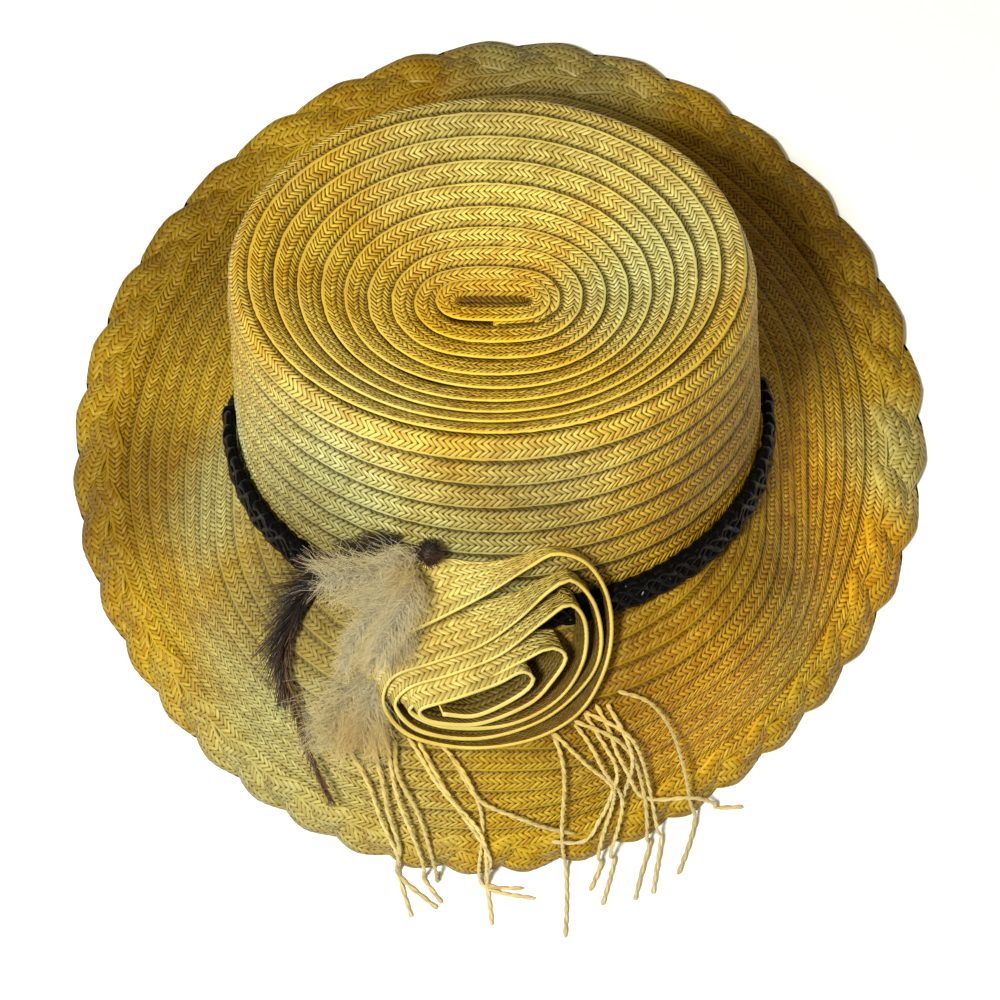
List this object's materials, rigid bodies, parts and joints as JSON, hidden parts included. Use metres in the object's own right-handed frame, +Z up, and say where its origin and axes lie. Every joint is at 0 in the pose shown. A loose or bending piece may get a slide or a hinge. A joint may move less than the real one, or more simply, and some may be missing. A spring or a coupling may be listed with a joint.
{
  "type": "brimmed straw hat",
  "caption": "Braided straw hat with an oval dished crown, a bell-shaped brim edged with a thick plait, a black band, a straw rosette, feathers and a straw fringe.",
  "frame": {"origin": "middle of the hat's footprint on the surface that it rests on", "axes": "+Z up, -Y towards the trimmed front of the hat, +X towards its right as seen from the front"},
  "size_m": [0.3162, 0.3504, 0.1604],
  "materials": {
    "crown_straw": "herringbone-woven straw braid, satin",
    "brim_straw": "herringbone-woven straw braid, satin",
    "plait_straw": "three-strand plait of straw braid, satin",
    "black_cord": "glossy black plaited cord",
    "rosette_straw": "straw braid strip, satin",
    "dark_feather": "glossy dark brown feather",
    "brown_feather": "brown feather",
    "marabou": "soft beige down",
    "fringe_straw": "twisted straw strands"
  },
  "bodies": {
    "root": {"crown": "crown_straw", "brim": "brim_straw", "edge_plait": "plait_straw", "crown_band": "black_cord", "rosette": "rosette_straw", "coque_feather": "dark_feather", "thin_feather": "brown_feather", "marabou_plume": "marabou", "feather_knot": "dark_feather", "fringe_left": "fringe_straw", "fringe_right": "fringe_straw"}
  },
  "joints": []
}
